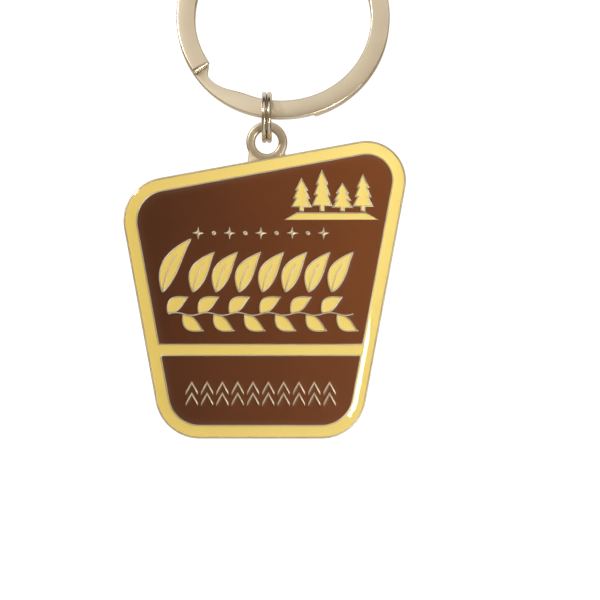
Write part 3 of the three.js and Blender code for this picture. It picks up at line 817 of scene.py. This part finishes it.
def eyelet_root(steps=10):
    """Two concave flanks that run from the ring's sides down to the plate's edge."""
    shares = np.linspace(0, 1, steps)
    waist = HOLE + EYELET_WALL * 0.7
    top = eyelet[1] - HOLE * 0.55
    low = edge_under_eyelet - RIM
    half = waist + (EYELET_FOOT - waist) * (1 - shares) ** 2
    right_v = low + top_slope * EYELET_FOOT + shares * (top - low - top_slope * EYELET_FOOT)
    left_v = low - top_slope * EYELET_FOOT + shares * (top - low + top_slope * EYELET_FOOT)
    right = np.column_stack((eyelet[0] + half, right_v))
    left = np.column_stack((eyelet[0] - half, left_v))[::-1]
    hollow_angles = np.linspace(0, -math.pi, 17)
    hollow = eyelet + (HOLE + 0.12) * np.column_stack((np.cos(hollow_angles), np.sin(hollow_angles)))
    outline = np.concatenate((right, hollow, left))
    half_depth = EYELET_THICKNESS / 2 - 0.02
    levels = ((0.12, -half_depth), (0.03, 0.06 - half_depth), (0.0, 0.2 - half_depth),
              (0.0, half_depth - 0.2), (0.03, half_depth - 0.06), (0.12, half_depth))
    return loft([at_depth(grow(outline, -inset), PLATE / 2 + depth) for inset, depth in levels])


# %% [markdown]
# ### One blow of the die
# On the real badge all of this is one piece of metal, so the skins go into one mesh. They touch or overlap
# a little where they meet, which shows no seam and needs no boolean cut.

# %% Strike the plate
plate_shells = [
    tray(),
    ridge(lambda share: upper_field(-RIDGE * (1 - share))),
    ridge(lambda share: lower_field(-RIDGE * (1 - share))),
    *(cell_ridge(cell) for cell in motif_cells),
    *(raised_mark(mark) for mark in (*veins, stem_outline(), *sparkle_row(), *chevron_rows())),
    eyelet_ring(),
    eyelet_root(),
]
make_piece("struck_badge_plate", on_badge(join(plate_shells)), "badge", badge_nickel,
           ["badge_plate"])

# %% [markdown]
# ## Filling the cells
# Liquid enamel climbs a little up every metal wall and sinks a little in the middle, so a fill is never
# flat. Its top is triangulated between its outlines, with rows of points close to the walls, and every
# point's height follows from its distance to the nearest wall.

# %% Regions between outlines
def resample(outline, spacing):
    """Splits every side that is longer than the spacing."""
    points = []
    for start, end in zip(outline, np.roll(outline, -1, axis=0)):
        parts = max(1, math.ceil(np.linalg.norm(end - start) / spacing))
        points.append(start + np.arange(parts)[:, None] / parts * (end - start))
    return np.concatenate(points)


def sides_of(loops):
    starts = np.concatenate(loops)
    ends = np.concatenate([np.roll(loop, -1, axis=0) for loop in loops])
    return starts, ends


def inside(points, loops):
    """True where a line to the right crosses the outlines an odd number of times."""
    starts, ends = sides_of(loops)
    u, v = points[:, :1], points[:, 1:]
    straddles = (starts[:, 1] > v) != (ends[:, 1] > v)
    rise = np.where(starts[:, 1] == ends[:, 1], 1.0, ends[:, 1] - starts[:, 1])
    crossing = starts[:, 0] + (v - starts[:, 1]) * (ends[:, 0] - starts[:, 0]) / rise
    return (straddles & (u < crossing)).sum(axis=1) % 2 == 1


def wall_distance(points, loops):
    starts, ends = sides_of(loops)
    along = ends - starts
    lengths = np.maximum((along**2).sum(axis=1), 1e-12)
    nearest = np.full(len(points), np.inf)
    for block in np.array_split(np.arange(len(points)), 1 + len(points) // 500):
        offset = points[block][:, None] - starts
        share = np.clip((offset * along).sum(axis=2) / lengths, 0, 1)
        gap = offset - share[:, :, None] * along
        nearest[block] = np.sqrt((gap**2).sum(axis=2).min(axis=1))
    return nearest


# %% [markdown]
# A plain fill of one outline would give long thin triangles, and light breaks up on those. Rows of points
# beside every wall and a loose grid in the middle keep the triangles short where the surface curves.

# %% Triangulate one region
WALL_ROWS = (0.08, 0.2, 0.42)
WALL_SPACING, GRID = 0.3, 0.9


def between(points, outer, holes):
    kept = inside(points, [outer])
    for hole in holes:
        kept &= ~inside(points, [hole])
    return kept


def fill_region(outer, holes):
    loops = [resample(loop, WALL_SPACING) for loop in (outer, *holes)]
    outer, holes = loops[0], loops[1:]
    extra = [grow(outer, -row) for row in WALL_ROWS]
    extra += [grow(hole, row) for hole in holes for row in WALL_ROWS]
    low, high = outer.min(axis=0), outer.max(axis=0)
    grid = np.stack(np.meshgrid(*(np.arange(a, b, GRID) for a, b in zip(low, high))), axis=-1)
    extra = np.concatenate((*extra, grid.reshape(-1, 2)))
    extra = extra[between(extra, outer, holes)]
    extra = extra[wall_distance(extra, loops) > WALL_ROWS[0] * 0.6]
    points = np.concatenate((*loops, extra))
    edges, start = [], 0
    for loop in loops:
        edges += [(start + i, start + (i + 1) % len(loop)) for i in range(len(loop))]
        start += len(loop)
    made = delaunay_2d_cdt([Vector(point) for point in points], edges, [], 0, 1e-5)
    points, triangles = np.array([tuple(p) for p in made[0]]), np.array([tuple(t) for t in made[2]])
    keep = between(points[triangles].mean(axis=1), outer, holes)
    return points, triangles[keep], wall_distance(points, loops)


# %% [markdown]
# The climb at the wall falls off within a tenth of a millimetre, and the sag reaches its full depth over
# a wider way. Both are far smaller than the cell is deep, but they are what makes an edge glint.

# %% Pour one fill
CLIMB, CLIMB_REACH = 0.03, 0.1
SAG, SAG_REACH = 0.025, 0.8
FLOOR_GAP = 0.02


def pour(outer, holes):
    points, triangles, gap = fill_region(outer, holes)
    top = PLATE - ENAMEL_DROP + CLIMB * np.exp(-gap / CLIMB_REACH) - SAG * (1 - np.exp(-gap / SAG_REACH))
    count = len(points)
    faces = [tuple(t) for t in triangles] + [tuple(t + count)[::-1] for t in triangles]
    directed = {(t[i], t[(i + 1) % 3]) for t in triangles.tolist() for i in range(3)}
    for a, b in directed:
        if (b, a) not in directed:
            faces.append((a, a + count, b + count, b))
    used = np.unique(np.array(triangles))
    order = -np.ones(2 * count, int)
    kept = np.concatenate((used, used + count))
    order[kept] = np.arange(len(kept))
    skin = np.concatenate((at_depth(points, top), at_depth(points, cell_floor + FLOOR_GAP)))[kept]
    return skin, [tuple(int(order[i]) for i in face) for face in faces]


# %% [markdown]
# The border and the cross band are one fill, because their cell runs all the way round. The two brown
# fields are poured around the ridges and marks, which stand in them as islands.

# %% Pour the border and the fields
FIT = 0.005


def pour_piece(name, outer, holes, material, node):
    make_piece(name, on_badge(pour(outer, holes)), "badge", material, [node], sharp=60)


pour_piece("yellow_border_fill", badge_outline(RIM + FIT),
           [upper_field(-RIDGE - FIT), lower_field(-RIDGE - FIT)],
           yellow_enamel, "border_enamel")
upper_islands = [grow(cell, RIDGE + FIT) for cell in motif_cells]
upper_islands += [grow(mark, FIT) for mark in (stem_outline(), *sparkle_row())]
pour_piece("brown_upper_fill", upper_field(FIT), upper_islands, brown_enamel,
           "upper_field_enamel")
pour_piece("brown_lower_fill", lower_field(FIT), [grow(mark, FIT) for mark in chevron_rows()],
           brown_enamel, "lower_field_enamel")

# %% [markdown]
# Every small cell gets its own drop of yellow. In the large leaves the raised vein is left free, so it
# reads as a bright line.

# %% Pour the small cells
def pour_row(name, node, cells, holes=()):
    for i, cell in enumerate(cells):
        free = [grow(holes[i], FIT)] if holes else []
        pour_piece(f"{name}_{i + 1}", grow(cell, -FIT), free, yellow_enamel,
                   f"{node}_{i + 1}")


pour_row("leaf_fill", "leaf_enamel", leaf_cells, veins)
pour_row("vine_leaf_fill", "vine_leaf_enamel", vine_cells)
pour_row("conifer_fill", "conifer_enamel", conifer_cells)
pour_piece("ground_fill", grow(ground_cell, -FIT), [], yellow_enamel, "ground_enamel")

# %% [markdown]
# ## The resin dome
# Surface tension gives the dome a steep shoulder at the rim and an almost flat middle. It is built of
# rows that follow the rim inwards, and then of rows that close on the centre, all quads, so that
# the reflections run along it without kinks. Clear resin casts next to no shadow on what lies in it,
# so its shadow is switched off.

# %% Pour the dome
SHOULDER, SHOULDER_SWELL = 4.6, 2.6
SHOULDER_ROWS, CROWN_ROWS = 26, 14
CROWN, CROWN_REACH = 0.1, 22.0
DOME_FOOT, DOME_STEP = 0.02, 0.05


def dome():
    base = PLATE + DOME_FOOT
    height = DOME_HEIGHT - DOME_FOOT
    centre = badge_outline(0).mean(axis=0)
    rows = [at_depth(badge_outline(DOME_INSET), base)]
    shoulder = SHOULDER * np.linspace(0, 1, SHOULDER_ROWS) ** 1.3
    for inset in shoulder:
        share = inset / SHOULDER
        rise = 1 - (1 - share) ** SHOULDER_SWELL
        outline = badge_outline(DOME_INSET + inset)
        rows.append(at_depth(outline, base + DOME_STEP + (height - DOME_STEP) * rise))
    inner = badge_outline(DOME_INSET + SHOULDER)
    for share in np.linspace(1, 0.02, CROWN_ROWS)[1:]:
        rows.append(at_depth(centre + share * (inner - centre), base + height))
    points, faces = loft(rows)
    reach = (points[:, :2] - centre) / CROWN_REACH
    slump = CROWN * np.clip((reach**2).sum(axis=1), 0, 1)
    lift = np.clip((points[:, 2] - base) / height, 0, 1)
    points[:, 2] -= slump * lift
    return points, faces


resin = make_piece("clear_dome", on_badge(dome()), "badge", epoxy, ["resin_dome"],
                   sharp=70)
resin.visible_shadow = False

# %% [markdown]
# ## Studio
# Small bright things are shown on white, and what they mirror is built around them: a dark
# place where the camera stands, a broad soft ceiling above it, dark sides that draw a fine line along
# every edge, and a white sweep behind. The floor is a round sheet of pale paper some way below the
# hanging keychain, and it fades out at its edge so that no horizon shows.

# %% Floor
FLOOR_DROP, FLOOR_RADIUS, FLOOR_SIDES = 0.16, 0.5, 64


def make_floor():
    angles = np.linspace(0, 2 * math.pi, FLOOR_SIDES, endpoint=False)
    level = cad_box[0].z - FLOOR_DROP
    rim = np.column_stack((FLOOR_RADIUS * np.cos(angles), FLOOR_RADIUS * np.sin(angles),
                           np.full(FLOOR_SIDES, level)))
    mesh = bpy.data.meshes.new("studio_floor")
    mesh.from_pydata(rim.tolist(), [], [tuple(range(FLOOR_SIDES))])
    floor = bpy.data.objects.new("studio_floor", mesh)
    bpy.context.scene.collection.objects.link(floor)
    material, tree = new_material("pale_paper")
    place = add_node(tree, "ShaderNodeTexCoord").outputs["Object"]
    reach = add_node(tree, "ShaderNodeVectorMath", [("operation", "LENGTH")], [(0, place)])
    fade = add_node(tree, "ShaderNodeMapRange",
                    [("interpolation_type", "SMOOTHSTEP"), ("From Min", FLOOR_RADIUS * 0.35),
                     ("From Max", FLOOR_RADIUS * 0.95)], [("Value", reach.outputs["Value"])])
    paper = add_node(tree, "ShaderNodeBsdfDiffuse", [("Color", colour("fdfdfc"))])
    clear = add_node(tree, "ShaderNodeBsdfTransparent")
    both = add_node(tree, "ShaderNodeMixShader", (), [
        (0, fade.outputs["Result"]), (1, paper.outputs["BSDF"]), (2, clear.outputs["BSDF"])])
    add_node(tree, "ShaderNodeOutputMaterial", links=[("Surface", both.outputs["Shader"])])
    mesh.materials.append(material)
    print("floor at", round(level / MILLIMETRE, 1), "mm")


make_floor()


# %% [markdown]
# ### What the metal mirrors
# Polished metal has hardly any look of its own: it shows its surroundings. A picture of a room could be
# used, but two colour ramps do the same and can be tuned: one from floor to ceiling, one from the
# viewer's side to the back. The viewer sees plain white behind the keychain.

# %% Surroundings
def make_world():
    world = bpy.data.worlds.new("studio")
    world.use_nodes = True
    tree = world.node_tree
    tree.nodes.clear()
    direction = add_node(tree, "ShaderNodeTexCoord").outputs["Generated"]
    parts = add_node(tree, "ShaderNodeSeparateXYZ", links=[(0, direction)])
    backward = add_node(tree, "ShaderNodeMapRange", [("From Min", -1.0)], [("Value", parts.outputs["Y"])])
    upward = add_node(tree, "ShaderNodeMapRange", [("From Min", -1.0)], [("Value", parts.outputs["Z"])])
    ceiling = add_node(tree, "ShaderNodeValToRGB", links=[(0, upward.outputs["Result"])], stops=[
        (0.0, "f2efe9"), (0.4, "b9ab95"), (0.56, "b5a78f"), (0.72, "f3eee6"), (1.0, "f6f4f0")])
    dark = add_node(tree, "ShaderNodeValToRGB", links=[(0, backward.outputs["Result"])], stops=[
        (0.0, "54483a"), (0.012, "5e5142"), (0.042, "f4f0ea"), (0.26, "ffffff"), (0.4, "4a4036"),
        (0.53, "4a4036"), (0.66, "ffffff")])
    light = add_node(tree, "ShaderNodeMix", [("data_type", "RGBA"), ("blend_type", "MULTIPLY"), (0, 1.0)],
                     [(6, ceiling.outputs["Color"]), (7, dark.outputs["Color"])])
    camera_ray = add_node(tree, "ShaderNodeLightPath").outputs["Is Camera Ray"]
    mirrored = add_node(tree, "ShaderNodeBackground", [("Strength", 1.0)], [("Color", light.outputs[2])])
    seen = add_node(tree, "ShaderNodeBackground", [("Color", (1.0, 1.0, 1.0, 1.0)), ("Strength", 1.1)])
    both = add_node(tree, "ShaderNodeMixShader", (), [
        (0, camera_ray), (1, mirrored.outputs[0]), (2, seen.outputs[0])])
    add_node(tree, "ShaderNodeOutputWorld", links=[("Surface", both.outputs[0])])
    bpy.context.scene.world = world
    print("surroundings made of", len(tree.nodes), "nodes")


make_world()
bpy.context.scene.view_settings.view_transform = "Standard"


# %% [markdown]
# Three lamps do the rest. A broad fill from the upper right lights the enamel; its mirror image is
# switched off, because a polarising filter would take it out. A narrow strip low on the right draws
# the white line on the dome's shoulder, and is rolled to lie along the badge's slanted side. A small lamp
# at the upper left sets a spark on the corner.

# %% Lamps
def aim(obj, target):
    obj.rotation_mode = "QUATERNION"
    obj.rotation_quaternion = (Vector(target) - obj.location).to_track_quat("-Z", "Y")


def soft_box(name, shift, target, size, watts, mirrored=True, spread=True, roll=0.0):
    light = bpy.data.lights.new(name, "AREA")
    light.shape = "RECTANGLE"
    light.size, light.size_y = size
    light.energy = watts
    lamp = bpy.data.objects.new(name, light)
    bpy.context.scene.collection.objects.link(lamp)
    lamp.location = target + Vector(shift)
    lamp.visible_glossy = mirrored
    lamp.visible_diffuse = spread
    aim(lamp, target)
    lamp.rotation_quaternion @= Quaternion((0, 0, 1), roll)
    print(name, watts, "W")


badge_middle = sum(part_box("badge_plate"), Vector()) / 2
soft_box("upper_right_fill", (0.12, -0.15, 0.09), badge_middle, (0.1, 0.1), 0.35, mirrored=False)
soft_box("right_strip", (0.146, -0.259, -0.082), badge_middle, (0.036, 0.1), 0.3, spread=False,
         roll=math.radians(-23))
soft_box("upper_left_lamp", (-0.18, -0.18, 0.15), badge_middle, (0.03, 0.03), 0.3, spread=False)

# %% [markdown]
# ## Camera
# A long lens at the badge's height, square to its face, keeps the sides parallel. The view takes in
# the badge, the link and the lower half of the key ring.

# %% Camera
LENS, SENSOR, VIEW_WIDTH = 120.0, 36.0, 89.3
CAMERA_U, CAMERA_V = 5.84, 20.61


def make_camera():
    camera = bpy.data.cameras.new("camera")
    camera.lens, camera.sensor_width = LENS, SENSOR
    camera.clip_start, camera.clip_end = 0.01, 20.0
    eye = bpy.data.objects.new("camera", camera)
    bpy.context.scene.collection.objects.link(eye)
    distance = VIEW_WIDTH * LENS / SENSOR
    target = np.array((CAMERA_U - eyelet[0], 0.0, CAMERA_V - eyelet[1])) + hole_middle
    eye.location = Vector((target - (0, distance, 0)) * MILLIMETRE)
    aim(eye, target * MILLIMETRE)
    bpy.context.scene.camera = eye
    print("camera stands", round(distance), "mm in front")


make_camera()

# %% [markdown]
# ## Measure
# The finished pieces have to fill the same box as the solids that they stand for. The CAD box is
# printed, in millimetres.

# %% Sizes and the end
print("CAD box", [tuple(round(c * 1000, 2) for c in corner) for corner in cad_box])
